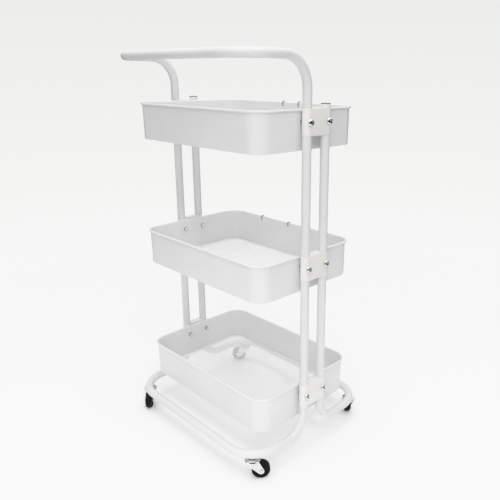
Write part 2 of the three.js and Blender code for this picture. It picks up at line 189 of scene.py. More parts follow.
CHEEK_SKIRT = 4               # depth of the cheek's straight front edge
CHEEK_END_R = 7               # round end at the axle
CHANNEL_REACH = (-30, 40)     # longer than the cheeks are, both ways
AXLE_R = 2.5
AXLE_HOLE_R = 3
AXLE_HEAD_R = 4.2
AXLE_CROWN_R = 2.6
AXLE_DIMPLE_R = 1.2
AXLE_DIMPLE_FLOOR_R = 0.9
AXLE_HEAD_EDGE = 0.8          # heights of the head's edge, crown, top and dimple above the cheek
AXLE_HEAD_CROWN = 1.4
AXLE_HEAD_TOP = 1.5
AXLE_HEAD_DIMPLE = 1.1
HUB_HALF_WIDTH = 8.6
HUB_R = 6.6
HUB_FOOT_R = 7.2
HUB_FOOT_HALF_WIDTH = 6
DISH_R = 12.6
DISH_HALF_WIDTH = 5.6
TYRE_INNER_R = 13.3
TYRE_HALF_WIDTH = 7.2
TREAD_HALF_WIDTH = 5.2
SHOULDER = 1.5                # the tyre's sides end this far inside its tread


# ---- Where things are, from the frame ----

def box_mm(node):
    low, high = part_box(node)
    return low / MM, high / MM


TRAY_HIGH = {tier: box_mm(f"tray_wall_{tier}")[1] for tier in TIERS}
RIM_Z = {tier: TRAY_HIGH[tier].z for tier in TIERS}
RIM_HALF_X = TRAY_HIGH["top"].x
RIM_HALF_Y = TRAY_HIGH["top"].y
POST_LOW, POST_HIGH = box_mm("upper_tube_back_right")
POST_X = (POST_LOW.x + POST_HIGH.x) / 2
POST_Y = (POST_LOW.y + POST_HIGH.y) / 2
JOINTS = {joint["name"]: joint for joint in frame["joints"]}


# ---- Shape helpers ----

AXIS_R = 0.01                 # radius of the small flat that closes a turned piece on its axis
QUARTERS = ((1, 1), (-1, 1), (-1, -1), (1, -1))
DOME_ANGLES = tuple(math.radians(a) for a in (10, 30, 50, 70))


def arc_points(centre, radius, start, turn, steps):
    """Points on a flat arc, with both of its ends."""
    angles = [start + turn * i / steps for i in range(steps + 1)]
    return [(centre[0] + radius * math.cos(a), centre[1] + radius * math.sin(a)) for a in angles]


def rounded(corners, steps=5, closed=True):
    """A flat outline from (u, v, radius) corners, with each corner rounded to its radius."""
    outline = []
    count = len(corners)
    for i, (u, v, radius) in enumerate(corners):
        here = Vector((u, v))
        if radius == 0 or (not closed and i in (0, count - 1)):
            outline.append((u, v))
            continue
        before = (Vector(corners[i - 1][:2]) - here).normalized()
        after = (Vector(corners[(i + 1) % count][:2]) - here).normalized()
        half = before.angle(after) / 2
        reach = radius / math.tan(half)
        centre = here + (before + after).normalized() * (radius / math.sin(half))
        first = here + before * reach - centre
        last = here + after * reach - centre
        turn = math.atan2(first.cross(last), first.dot(last))
        start = math.atan2(first.y, first.x)
        outline += arc_points(centre, radius, start, turn, steps)
    return outline


def filleted_path(corners, radii):
    """Points along a line through corners, with a fillet of its own radius at each inner corner."""
    path = [Vector(corners[0])]
    for i, radius in enumerate(radii, start=1):
        corner = Vector(corners[i])
        into = (corner - Vector(corners[i - 1])).normalized()
        out = (Vector(corners[i + 1]) - corner).normalized()
        turn = into.angle(out)
        start = corner - into * (radius * math.tan(turn / 2))
        across = (out - into * into.dot(out)).normalized()
        steps = max(4, round(turn / TURN_STEP))
        for step in range(steps + 1):
            angle = turn * step / steps
            onward = into * (radius * math.sin(angle))
            sideways = across * (radius * (1 - math.cos(angle)))
            path.append(start + onward + sideways)
    path.append(Vector(corners[-1]))
    return path


def path_frames(path):
    """Two directions across the path at each of its points, turned as little as possible between them."""
    tangents = []
    for i in range(len(path)):
        behind = path[max(i - 1, 0)]
        ahead = path[min(i + 1, len(path) - 1)]
        tangents.append((ahead - behind).normalized())
    side = tangents[0].orthogonal().normalized()
    frames = []
    for tangent in tangents:
        side = (side - tangent * side.dot(tangent)).normalized()
        frames.append((side, tangent.cross(side)))
    return frames


class Shell:
    """Vertices and faces, in millimetres."""

    def __init__(self):
        self.verts = []
        self.faces = []

    def rings(self, rings, loop=False):
        """Joins rings of points in turn. A loop meets its own start, otherwise both ends are filled."""
        start = len(self.verts)
        count = len(rings[0])
        for ring in rings:
            self.verts.extend(ring)
        for i in range(len(rings) if loop else len(rings) - 1):
            here = start + i * count
            there = start + (i + 1) % len(rings) * count
            for j in range(count):
                k = (j + 1) % count
                self.faces.append((here + j, here + k, there + k, there + j))
        if not loop:
            last = start + (len(rings) - 1) * count
            self.faces.append(tuple(range(start, start + count)))
            self.faces.append(tuple(range(last, last + count)))
        return self


def turned(profile, segments, loop=False):
    """A piece turned round +Z from (radius, z) points. A loop has a bore."""
    angles = [2 * math.pi * i / segments for i in range(segments)]
    rings = [[(r * math.cos(a), r * math.sin(a), z) for a in angles] for r, z in profile]
    return Shell().rings(rings, loop)


def tube(path, outer, bore, segments):
    """A pipe along a path, open at both ends."""
    angles = [2 * math.pi * i / segments for i in range(segments)]

    def ring(radius, i):
        side, other = frames[i]
        return [path[i] + (side * math.cos(a) + other * math.sin(a)) * radius for a in angles]

    frames = path_frames(path)
    there = [ring(outer, i) for i in range(len(path))]
    back = [ring(bore, i) for i in reversed(range(len(path)))]
    return Shell().rings(there + back, loop=True)


def wire(path, radius, segments):
    """A round wire along a path, with round ends."""
    frames = path_frames(path)
    angles = [2 * math.pi * i / segments for i in range(segments)]
    stations = [(0, math.sin(a) * radius, -math.cos(a) * radius) for a in DOME_ANGLES]
    stations += [(i, radius, 0) for i in range(len(path))]
    stations += [(len(path) - 1, math.sin(a) * radius, math.cos(a) * radius) for a in reversed(DOME_ANGLES)]
    rings = []
    for i, size, shift in stations:
        side, other = frames[i]
        centre = path[i] + side.cross(other) * shift
        rings.append([centre + (side * math.cos(a) + other * math.sin(a)) * size for a in angles])
    return Shell().rings(rings)


def pushed(outline, z0, z1, edge=0, steps=4):
    """An outline pushed up from z0 to z1, with its two ends rounded off by edge."""
    count = len(outline)
    normals = []
    for i in range(count):
        before = Vector(outline[i]) - Vector(outline[i - 1])
        after = Vector(outline[(i + 1) % count]) - Vector(outline[i])
        along = before.normalized() + after.normalized()
        normals.append(Vector((along.y, -along.x)).normalized())

    def ring(inset, z):
        return [(p[0] - n.x * inset, p[1] - n.y * inset, z) for p, n in zip(outline, normals)]

    if not edge:
        return Shell().rings([ring(0, z0), ring(0, z1)])
    angles = [math.pi / 2 * i / steps for i in range(steps + 1)]
    low = [ring(edge * (1 - math.sin(a)), z0 + edge * (1 - math.cos(a))) for a in angles]
    high = [ring(edge * (1 - math.sin(a)), z1 - edge * (1 - math.cos(a))) for a in reversed(angles)]
    return Shell().rings(low + high)


def round_sweep(profile, half_x, half_y, corner_r, steps):
    """Sweeps a closed (inset, z) profile round a rectangle with round corners."""
    rings = []
    for quarter, (sx, sy) in enumerate(QUARTERS):
        x = sx * (half_x - corner_r)
        y = sy * (half_y - corner_r)
        for step in range(steps + 1):
            angle = (quarter + step / steps) * math.pi / 2
            cos = math.cos(angle)
            sin = math.sin(angle)
            rings.append([(x + (corner_r - i) * cos, y + (corner_r - i) * sin, z) for i, z in profile])
    return Shell().rings(rings, loop=True)


def rod(radius, z0, z1, segments=40):
    return turned([(radius, z0), (radius, z1)], segments)


def block_outline(x0, x1, y0, y1, radius):
    return rounded([(x0, y0, radius), (x1, y0, radius), (x1, y1, radius), (x0, y1, radius)])


def mesh_of(shell, placing=Matrix.Identity(4)):
    """A shell as a mesh in metres, with its faces turned outward."""
    mesh = bpy.data.meshes.new("shell")
    mesh.from_pydata([placing @ Vector(v) * MM for v in shell.verts], [], shell.faces)
    face_outward(mesh)
    return mesh


def face_outward(mesh):
    work = bmesh.new()
    work.from_mesh(mesh)
    bmesh.ops.recalc_face_normals(work, faces=work.faces)
    work.to_mesh(mesh)
    work.free()


def carve(mesh, *steps):
    """The mesh after each (operation, tool mesh) in turn: UNION, DIFFERENCE or INTERSECT."""
    for operation, tool in steps:
        target = bpy.data.objects.new("target", mesh)
        cutter = bpy.data.objects.new("cutter", tool)
        for item in (target, cutter):
            bpy.context.scene.collection.objects.link(item)
        modifier = target.modifiers.new("carve", "BOOLEAN")
        modifier.operation = operation
        modifier.solver = "EXACT"
        modifier.object = cutter
        bpy.context.view_layer.update()
        depsgraph = bpy.context.evaluated_depsgraph_get()
        result = bpy.data.meshes.new_from_object(target.evaluated_get(depsgraph))
        for item in (target, cutter):
            bpy.data.objects.remove(item)
        mesh = result
    return mesh


def add_piece(name, mesh, material, body="frame", node=None, sharp=32):
    """Shows a mesh as a piece that stands for its CAD node. Edges sharper than sharp degrees stay crisp."""
    mesh.name = name
    mesh.materials.clear()
    mesh.materials.append(material)
    mesh.shade_smooth()
    mesh.set_sharp_from_angle(angle=math.radians(sharp))
    piece = bpy.data.objects.new(name, mesh)
    bpy.context.scene.collection.objects.link(piece)
    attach(piece, body)
    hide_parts(node)
    return piece


# ---- Materials ----

TRAY_TONE = 0.72
TUBE_TONE_PAINTED_SHADE = 0.665             # the tubes' coat is a touch greyer than the trays': painted shade on the posts, handle and bases
COAT_DRIFT = 0.015
COAT_BLUE = 0.005


class Finish:
    """A material whose colour, roughness and surface vary over the piece."""

    def __init__(self, name, roughness, metallic=0.0):
        self.material = bpy.data.materials.new(name)
        self.material.use_nodes = True
        self.tree = self.material.node_tree
        self.shader = self.tree.nodes["Principled BSDF"]
        self.shader.inputs["Roughness"].default_value = roughness
        self.shader.inputs["Metallic"].default_value = metallic
        self.coords = self.tree.nodes.new("ShaderNodeTexCoord").outputs["Object"]
        self.height = None

    def noise(self, wavelength, detail=2.0, stretch=(1, 1, 1)):
        """Noise whose features are about wavelength metres across."""
        mapping = self.tree.nodes.new("ShaderNodeMapping")
        mapping.inputs["Scale"].default_value = stretch
        self.tree.links.new(self.coords, mapping.inputs["Vector"])
        node = self.tree.nodes.new("ShaderNodeTexNoise")
        node.inputs["Scale"].default_value = 1 / wavelength
        node.inputs["Detail"].default_value = detail
        self.tree.links.new(mapping.outputs["Vector"], node.inputs["Vector"])
        return node.outputs["Fac"]

    def colour(self, source, *stops):
        """Base colour from (position, red, green, blue) stops along a source."""
        ramp = self.tree.nodes.new("ShaderNodeValToRGB")
        elements = ramp.color_ramp.elements
        while len(elements) < len(stops):
            elements.new(0.5)
        for element, (position, *rgb) in zip(elements, stops):
            element.position = position
            element.color = (*rgb, 1)
        self.tree.links.new(source, ramp.inputs["Fac"])
        self.tree.links.new(ramp.outputs["Color"], self.shader.inputs["Base Color"])

    def roughness(self, source, low, high):
        spread = self.tree.nodes.new("ShaderNodeMapRange")
        spread.inputs["From Min"].default_value = 0.3
        spread.inputs["From Max"].default_value = 0.7
        spread.inputs["To Min"].default_value = low
        spread.inputs["To Max"].default_value = high
        self.tree.links.new(source, spread.inputs["Value"])
        self.tree.links.new(spread.outputs["Result"], self.shader.inputs["Roughness"])

    def bump(self, source, depth, strength=1.0):
        """Relief of depth metres, on top of any relief already there."""
        node = self.tree.nodes.new("ShaderNodeBump")
        node.inputs["Distance"].default_value = depth
        node.inputs["Strength"].default_value = strength
        self.tree.links.new(source, node.inputs["Height"])
        if self.height is not None:
            self.tree.links.new(self.height, node.inputs["Normal"])
        self.height = node.outputs["Normal"]
        self.tree.links.new(self.height, self.shader.inputs["Normal"])


def powder_coat(name, tone):
    """White powder coat: faint orange peel and slow drifts of tone where the coat is thicker."""
    finish = Finish(name, 0.4)
    thin = tone - COAT_DRIFT
    thick = tone + COAT_DRIFT
    finish.colour(
        finish.noise(0.09, 3.0),
        (0.3, thin, thin, thin + COAT_BLUE),
        (0.7, thick, thick, thick + COAT_BLUE),
    )
    finish.roughness(finish.noise(0.02, 3.0), 0.34, 0.46)
    finish.bump(finish.noise(0.006, 1.0), 0.00005)
    finish.bump(finish.noise(0.0014, 2.0), 0.000012)
    return finish.material


def mesh_coat_painted_light():
    """The same coat on thin strands, coloured far lighter than the trays' coat as painted light, and
    varying where it gathers unevenly.
    """
    finish = Finish("powder_coat_mesh_painted_light", 0.45)
    # these light tones are painted light that brightens the shaded mesh floors
    finish.colour(
        finish.noise(0.012, 3.0),
        (0.3, 0.92, 0.922, 0.93),
        (0.7, 0.95, 0.95, 0.954),
    )
    finish.roughness(finish.noise(0.008, 2.0), 0.38, 0.54)
    finish.bump(finish.noise(0.001, 2.0), 0.00002)
    return finish.material


def connector_plastic():
    """Ivory moulded plastic with a fine spark-eroded texture and faint flow marks."""
    finish = Finish("connector_ivory", 0.5)
    finish.colour(
        finish.noise(0.03, 2.0, (1, 1, 0.35)),
        (0.3, 0.74, 0.722, 0.688),
        (0.7, 0.77, 0.754, 0.722),
    )
    finish.roughness(finish.noise(0.004, 2.0), 0.42, 0.56)
    finish.bump(finish.noise(0.0006, 3.0), 0.000012)
    finish.bump(finish.noise(0.015, 1.0), 0.00006)
    finish.shader.inputs["Subsurface Weight"].default_value = 0.04
    finish.shader.inputs["Subsurface Radius"].default_value = (0.004, 0.003, 0.002)
    return finish.material


def cap_plastic():
    """Grey moulded plastic with a fine satin texture."""
    finish = Finish("cap_grey", 0.5)
    finish.colour(
        finish.noise(0.006, 3.0),
        (0.3, 0.165, 0.167, 0.172),
        (0.7, 0.195, 0.197, 0.203),
    )
    finish.roughness(finish.noise(0.003, 2.0), 0.4, 0.56)
    finish.bump(finish.noise(0.0006, 3.0), 0.000015)
    return finish.material


def chrome():
    """Nickel-chrome plate with faint haze and polishing marks."""
    finish = Finish("chrome_plate", 0.1, 1.0)
    finish.colour(
        finish.noise(0.004, 2.0),
        (0.3, 0.66, 0.67, 0.69),
        (0.7, 0.72, 0.725, 0.73),
    )
    finish.roughness(finish.noise(0.002, 3.0), 0.06, 0.16)
    finish.bump(finish.noise(0.0005, 2.0, (1, 6, 1)), 0.000003)
    return finish.material


def hook_wire():
    """Bright drawn wire, with die marks along it."""
    finish = Finish("bright_wire", 0.2, 1.0)
    finish.colour(
        finish.noise(0.003, 2.0),
        (0.3, 0.36, 0.365, 0.37),
        (0.7, 0.45, 0.45, 0.46),
    )
    finish.roughness(finish.noise(0.0015, 2.0), 0.14, 0.28)
    finish.bump(finish.noise(0.0004, 2.0, (8, 8, 1)), 0.000004)
    return finish.material


def zinc_plate():
    """Bright zinc plate on pressed steel: cloudy, with a trace of blue and straw in it."""
    finish = Finish("zinc_plate_bright", 0.25, 1.0)
    finish.colour(
        finish.noise(0.006, 3.0),
        (0.32, 0.66, 0.69, 0.74),
        (0.5, 0.74, 0.75, 0.76),
        (0.68, 0.76, 0.745, 0.70),
    )
    finish.roughness(finish.noise(0.003, 3.0), 0.18, 0.34)
    finish.bump(finish.noise(0.0012, 3.0), 0.000012)
    finish.bump(finish.noise(0.0004, 2.0, (1, 1, 7)), 0.000005)
    return finish.material


def black_rubber():
    """Hard black wheel rubber, dull with a little dust in it."""
    finish = Finish("wheel_black", 0.55)
    finish.shader.inputs["Specular IOR Level"].default_value = 0.15
    finish.colour(
        finish.noise(0.004, 4.0),
        (0.35, 0.004, 0.004, 0.0045),
        (0.62, 0.007, 0.007, 0.0075),
        (0.8, 0.014, 0.0135, 0.013),
    )
    finish.roughness(finish.noise(0.003, 3.0), 0.42, 0.66)
    finish.bump(finish.noise(0.0008, 3.0), 0.00003)
    return finish.material


# ---- Tube frames ----

def bent_path(end, post_end_z, bar_z, bar_y, bend_r):
    corners = [
        (-POST_X, end * POST_Y, post_end_z),
        (-POST_X, end * POST_Y, bar_z),
        (-POST_X, end * bar_y, bar_z),
        (POST_X, end * bar_y, bar_z),
        (POST_X, end * POST_Y, bar_z),
        (POST_X, end * POST_Y, post_end_z),
    ]
    return filleted_path(corners, [bend_r, CORNER_R, CORNER_R, bend_r])


def build_handle(coat):
    low, high = box_mm("handle")
    path = bent_path(-1, low.z, high.z - TUBE_R, -low.y - TUBE_R, HANDLE_BEND_R)
    mesh = mesh_of(tube(path, TUBE_R, BORE_R, TUBE_SEGMENTS))
    add_piece("handle_tube", mesh, coat, node="handle")


def build_bases(coat):
    """Each base tube has a hole under each corner for a caster's stem."""
    for name, end in ENDS:
        low, high = box_mm(f"base_{name}")
        bar_y = max(abs(low.y), abs(high.y)) - TUBE_R
        path = bent_path(end, high.z, low.z + TUBE_R, bar_y, BASE_BEND_R)
        mesh = mesh_of(tube(path, TUBE_R, BORE_R, TUBE_SEGMENTS))
        for side_name, _ in SIDES:
            swivel = Vector(JOINTS[f"swivel_{name}_{side_name}"]["pos_m"]) / MM
            hole = rod(STEM_HOLE_R, low.z - TUBE_R, low.z + TUBE_R)
            mesh = carve(mesh, ("DIFFERENCE", mesh_of(hole, Matrix.Translation((swivel.x, swivel.y, 0)))))
        add_piece(f"base_tube_{name}", mesh, coat, node=f"base_{name}")


def build_posts(coat):
    for level in ("lower", "upper"):
        for end_name, _ in ENDS:
            for side_name, _ in SIDES:
                node = f"{level}_tube_{end_name}_{side_name}"
                low, high = box_mm(node)
                middle = (low + high) / 2
                path = [Vector((middle.x, middle.y, low.z)), Vector((middle.x, middle.y, high.z))]
                mesh = mesh_of(tube(path, TUBE_R, BORE_R, TUBE_SEGMENTS))
                add_piece(f"post_{level}_{end_name}_{side_name}", mesh, coat, node=node)


# ---- Trays ----

def wall_profile():
    """The sheet's section below its rim: a hem rolled outward, a leaning wall and a lip turned in."""
    roll = RIM_ROLL / 2
    hem = arc_points((roll, -roll), roll, 0, HEM_TURN, HEM_STEPS)
    outside_top = RIM_ROLL - WALL
    outside_low = outside_top + WALL_TAPER
    lip = outside_low + FLANGE
    rest = rounded([
        (outside_top, -RIM_ROLL, 0),
        (outside_low, -TRAY_DEPTH, FLOOR_BEND_R),
        (lip, -TRAY_DEPTH, LIP_EDGE_R),
        (lip, -TRAY_DEPTH + WALL, LIP_EDGE_R),
        (outside_low + WALL, -TRAY_DEPTH + WALL, INSIDE_BEND_R),
        (RIM_ROLL, -RIM_ROLL, 0),
    ])
    return hem + rest


def build_tray_walls(coat):
    turn = Matrix.Rotation(math.pi / 2, 4, "Y")
    for tier in TIERS:
        profile = [(inset, RIM_Z[tier] + z) for inset, z in wall_profile()]
        mesh = mesh_of(round_sweep(profile, RIM_HALF_X, RIM_HALF_Y, RIM_CORNER_R, TRAY_CORNER_STEPS))
        for side_name, side in SIDES:
            for end_name, _ in ENDS:
                low, high = box_mm(f"bolt_{tier}_{end_name}_{side_name}")
                middle = (low + high) / 2
                hole = rod(BOLT_HOLE_R, -TRAY_DRILL, TRAY_DRILL)
                at = Matrix.Translation((side * (RIM_HALF_X - RIM_ROLL), middle.y, middle.z))
                mesh = carve(mesh, ("DIFFERENCE", mesh_of(hole, at @ turn)))
        add_piece(f"tray_shell_{tier}", mesh, coat, node=f"tray_wall_{tier}")


def half_chord(offset, half_along, half_across, corner_r):
    """Half the length of a straight line across a rounded rectangle, at an offset from its middle."""
    over = abs(offset) - (half_across - corner_r)
    if over <= 0:
        return half_along
    return half_along - corner_r + math.sqrt(max(corner_r ** 2 - over ** 2, 0))


def welded_mesh(half_x, half_y, corner_r, z0, z1):
    """A sheet of fine welded wires, one layer along each axis, inside a flat edge band."""
    section = [
        (0, z0 + BAND_EDGE),
        (BAND_EDGE, z0),
        (BAND_WIDTH - BAND_EDGE, z0),
        (BAND_WIDTH, z0 + BAND_EDGE),
    ]
    section += [(inset, z0 + z1 - z) for inset, z in reversed(section)]
    shell = round_sweep(section, half_x, half_y, corner_r, FLOOR_CORNER_STEPS)
    reach_x = half_x - WIRE_END_INSET
    reach_y = half_y - WIRE_END_INSET
    reach_r = corner_r - WIRE_END_INSET
    corners = [2 * math.pi * (i + 0.5) / WIRE_SIDES for i in range(WIRE_SIDES)]
    size = MESH_WIRE_R * math.sqrt(2)
    for z, half_along, half_across, along_x in (
        (z0 + MESH_WIRE_R, reach_x, reach_y, True),
        (z1 - MESH_WIRE_R, reach_y, reach_x, False),
    ):
        count = int((half_across - BAND_WIDTH) / MESH_PITCH)
        for i in range(-count, count + 1):
            offset = i * MESH_PITCH
            end = half_chord(offset, half_along, half_across, reach_r)
            ends = []
            for along in (-end, end):
                ring = [(along, offset + size * math.cos(a), z + size * math.sin(a)) for a in corners]
                ends.append(ring if along_x else [(y, x, height) for x, y, height in ring])
            shell.rings(ends)
    return shell


def build_tray_floors(coat):
    inset = RIM_ROLL + WALL_TAPER + FIT
    for tier in TIERS:
        node = f"tray_floor_{tier}"
        low, high = box_mm(node)
        shell = welded_mesh(high.x, high.y, RIM_CORNER_R - inset, low.z, high.z)
        add_piece(f"tray_mesh_{tier}", mesh_of(shell), coat, node=node)


# ---- Connectors ----

def connector_outline():
    """Two round sleeves and the web between them, seen from above, for the right side."""
    centre_x = WEB_OUTER_X + WEB_FILLET
    spread = SLEEVE_R + WEB_FILLET
    drop = math.sqrt(spread ** 2 - (centre_x - POST_X) ** 2)
    contact = math.atan2(-drop, centre_x - POST_X)
    inner = math.pi + math.acos((POST_X - WEB_INNER_X) / SLEEVE_R)
    fillet = arc_points((centre_x, POST_Y - drop), WEB_FILLET, math.pi, contact, 8)
    back = fillet[:-1] + arc_points((POST_X, POST_Y), SLEEVE_R, contact, inner - contact, 40)
    return back + [(x, -y) for x, y in reversed(back)]


def spigot_shell(low_z, high_z):
    profile = [
        (SPIGOT_R - SPIGOT_EDGE, low_z),
        (SPIGOT_R, low_z + SPIGOT_EDGE),
        (SPIGOT_R, high_z - SPIGOT_EDGE),
        (SPIGOT_R - SPIGOT_EDGE, high_z),
    ]
    return turned(profile, 40)


def stub_shell(low_z, high_z):
    """The short top of a sleeve that holds an end cap."""
    profile = rounded([
        (AXIS_R, low_z, 0),
        (SLEEVE_R, low_z, 0),
        (SLEEVE_R, high_z, STUB_EDGE_R),
        (AXIS_R, high_z, 0),
    ], closed=False)
    return turned(profile, 80)


def build_connectors(plastic):
    outline = connector_outline()
    for tier in TIERS:
        low, high = box_mm(f"connector_{tier}_right")
        bottom = low.z + SPIGOT_LENGTH
        top = high.z - SPIGOT_LENGTH
        bolt = box_mm(f"bolt_{tier}_front_right")
        bolt_z = (bolt[0].z + bolt[1].z) / 2
        pad_outline = block_outline(low.x, PAD_OUTER_X, -PAD_HALF_Y, PAD_HALF_Y, PAD_CORNER_R)
        pad = pushed(pad_outline, bottom + PAD_ABOVE_BOTTOM, RIM_Z[tier] - PAD_BELOW_RIM, edge=PAD_EDGE)
        steps = [("UNION", mesh_of(pad))]
        for end_name, end in ENDS:
            capped = tier == "top" and end_name == "back"
            upper = top - STUB_ROOT if capped else top + SPIGOT_LENGTH
            place = Matrix.Translation((POST_X, end * POST_Y, 0))
            steps.append(("UNION", mesh_of(spigot_shell(bottom - SPIGOT_LENGTH, upper), place)))
            if capped:
                stub_top = top + STUB_HEIGHT
                socket = rod(SPIGOT_R, stub_top - STUB_SOCKET, stub_top + 1)
                steps.append(("UNION", mesh_of(stub_shell(top - STUB_ROOT, stub_top), place)))
                steps.append(("DIFFERENCE", mesh_of(socket, place)))
            at_bolt = Matrix.Translation((POST_X, end * POST_Y, bolt_z))
            lying = at_bolt @ Matrix.Rotation(math.pi / 2, 4, "Y")
            steps.append(("DIFFERENCE", mesh_of(rod(BOLT_HOLE_R, -THROUGH, THROUGH), lying)))
        right = carve(mesh_of(pushed(outline, bottom, top, edge=CONNECTOR_EDGE)), *steps)
        left = right.copy()
        left.transform(Matrix.Diagonal((-1, 1, 1, 1)))
        left.flip_normals()
        for side_name, mesh in (("right", right), ("left", left)):
            node = f"connector_{tier}_{side_name}"
            add_piece(f"bracket_{tier}_{side_name}", mesh, plastic, node=node)


def build_end_caps(plastic):
    """A grey plug with a slightly crowned head closes each stub."""
    for side_name, _ in SIDES:
        node = f"end_cap_{side_name}"
        low, high = box_mm(node)
        seat = low.z + CAP_PLUG_LENGTH
        middle = (low + high) / 2
        profile = rounded([
            (AXIS_R, low.z, 0),
            (CAP_PLUG_R, low.z, CAP_PLUG_EDGE_R),
            (CAP_PLUG_R, seat, 0),
            (CAP_R, seat, CAP_UNDER_R),
            (CAP_R, high.z - CAP_CROWN, CAP_EDGE_R),
            (AXIS_R, high.z, 0),
        ], closed=False)
        mesh = mesh_of(turned(profile, 64), Matrix.Translation((middle.x, middle.y, 0)))
        add_piece(f"tube_plug_{side_name}", mesh, plastic, node=node)


# ---- Fasteners ----

def hexagon(radius, angle):
    """How far a hexagon with that corner radius reaches in one direction."""
    turn = angle % (math.pi / 3) - math.pi / 6
    return radius * math.cos(math.pi / 6) / math.cos(turn)


def bolt_shell():
    """Cap nut, washer, shank and a domed head with a hexagon socket, along +X for the right side."""
    head = POST_X + SLEEVE_R + FIT
    washer = RIM_HALF_X - RIM_ROLL - WALL_TAPER - FIT
    nut = washer - WASHER_THICKNESS
    nut_end = nut - NUT_LENGTH
    dome = nut - NUT_DOME
    flats_r = NUT_R * math.cos(math.pi / 6)
    rings = []

    def add(x, radius, six_sided=False):
        ring = []
        for i in range(BOLT_SEGMENTS):
            angle = 2 * math.pi * i / BOLT_SEGMENTS
            size = hexagon(radius, angle) if six_sided else radius
            ring.append((x, size * math.cos(angle), size * math.sin(angle)))
        rings.append(ring)

    def add_nut():
        for step in range(1, DOME_STEPS + 1):
            angle = math.pi / 2 * step / DOME_STEPS
            add(dome - (dome - nut_end) * math.cos(angle), (flats_r - NUT_DOME_STEP) * math.sin(angle))
        add(dome, flats_r - NUT_EDGE / 2)
        add(dome + NUT_DOME_STEP, NUT_R, six_sided=True)
        add(nut - NUT_EDGE, NUT_R, six_sided=True)
        add(nut, flats_r)

    def add_washer():
        add(nut, WASHER_R - WASHER_EDGE)
        add(nut + WASHER_EDGE, WASHER_R)
        add(washer - WASHER_EDGE, WASHER_R)
        add(washer, WASHER_R - WASHER_EDGE)

    def add_head():
        add(head, BOLT_HEAD_R - HEAD_FOOT)
        add(head + HEAD_FOOT, BOLT_HEAD_R)
        for step in range(DOME_STEPS + 1):
            angle = math.radians(HEAD_DOME_FROM + HEAD_DOME_TURN * step / DOME_STEPS)
            rise = (BOLT_HEAD_HEIGHT - HEAD_SKIRT) * math.sin(angle)
            inner = (BOLT_HEAD_R - HEAD_CROWN_R) * math.cos(angle) ** HEAD_FULLNESS
            add(head + HEAD_SKIRT + rise * HEAD_RISE, HEAD_CROWN_R + inner)

    def add_socket():
        mouth = head + BOLT_HEAD_HEIGHT - SOCKET_SUNK
        floor = mouth - SOCKET_DEPTH
        add(mouth, SOCKET_R + SOCKET_LIP)
        add(mouth - SOCKET_DRAFT, SOCKET_R, six_sided=True)
        add(floor, SOCKET_R - SOCKET_DRAFT, six_sided=True)
        add(floor - SOCKET_CONE, SOCKET_CONE_R)

    add_nut()
    add_washer()
    add(washer, BOLT_R)
    add(head, BOLT_R)
    add_head()
    add_socket()
    return Shell().rings(rings)


def build_bolts(plate):
    shell = bolt_shell()
    for tier in TIERS:
        for side_name, side in SIDES:
            for end_name, _ in ENDS:
                node = f"bolt_{tier}_{end_name}_{side_name}"
                low, high = box_mm(node)
                middle = (low + high) / 2
                place = Matrix.Translation((0, middle.y, middle.z))
                if side < 0:
                    place = place @ Matrix.Rotation(math.pi, 4, "Z")
                mesh = mesh_of(shell, place)
                name = f"screw_{tier}_{end_name}_{side_name}"
                add_piece(name, mesh, plate, node=node, sharp=40)


def build_hooks(plate):
    """Wire hooks over the back rim: a short leg inside, a long one outside that curls up at its foot."""
    for tier in ("top", "middle"):
        for number in (1, 2):
            node = f"hook_{tier}_{number}"
            low, high = box_mm(node)
            x = (low.x + high.x) / 2
            crest = high.z - HOOK_WIRE_R
            foot = low.z + HOOK_WIRE_R
            inside_y = low.y + HOOK_WIRE_R
            tip_y = high.y - HOOK_WIRE_R
            outside_y = tip_y - HOOK_CURL_OUT
            corners = [
                (x, inside_y, crest - HOOK_INNER_LEG),
                (x, inside_y, crest),
                (x, outside_y, crest),
                (x, outside_y, foot),
                (x, tip_y, foot),
                (x, tip_y, foot + HOOK_CURL_UP),
            ]
            path = filleted_path(corners, [HOOK_CREST_R, HOOK_CREST_R, HOOK_FOOT_R, HOOK_FOOT_R])
            shell = wire(path, HOOK_WIRE_R, HOOK_SEGMENTS)
            add_piece(f"wire_hook_{tier}_{number}", mesh_of(shell), plate, node=node)


# ---- Casters ----

def caster_stem_mesh():
    """The pin through the fork, the pressed bearing cup and the stem that goes up into the tube."""
    recess = CUP_LOW + CUP_RECESS
    shoulder = CUP_TOP - CUP_SHOULDER_DROP
    profile = rounded([
        (AXIS_R, RIVET_LOW, 0),
        (RIVET_R, RIVET_LOW, 0.9),
        (RIVET_R, RIVET_HIGH, 0.5),
        (PIN_R, RIVET_HIGH, 0),
        (PIN_R, recess, 0.3),
        (CUP_RECESS_R, recess, 0.3),
        (CUP_LIP_INNER_R, CUP_LOW, 0.2),
        (CUP_LIP_OUTER_R, CUP_LOW, 0.3),
        (CUP_R, CUP_WIDEST, 0.6),
        (CUP_SHOULDER_R, shoulder, 0.6),
        (CUP_TOP_R, CUP_TOP, 0.5),
        (STEM_R, CUP_TOP, 0),
        (STEM_R, STEM_TOP, 0.8),
        (AXIS_R, STEM_TOP, 0),
    ], closed=False)
    return mesh_of(turned(profile, 64))


def touch_angle(point, centre, radius, side):
    """Where a line from a point touches a circle, as an angle about its centre."""
    away = Vector(point) - Vector(centre)
    return math.atan2(away.y, away.x) + side * math.acos(radius / away.length)


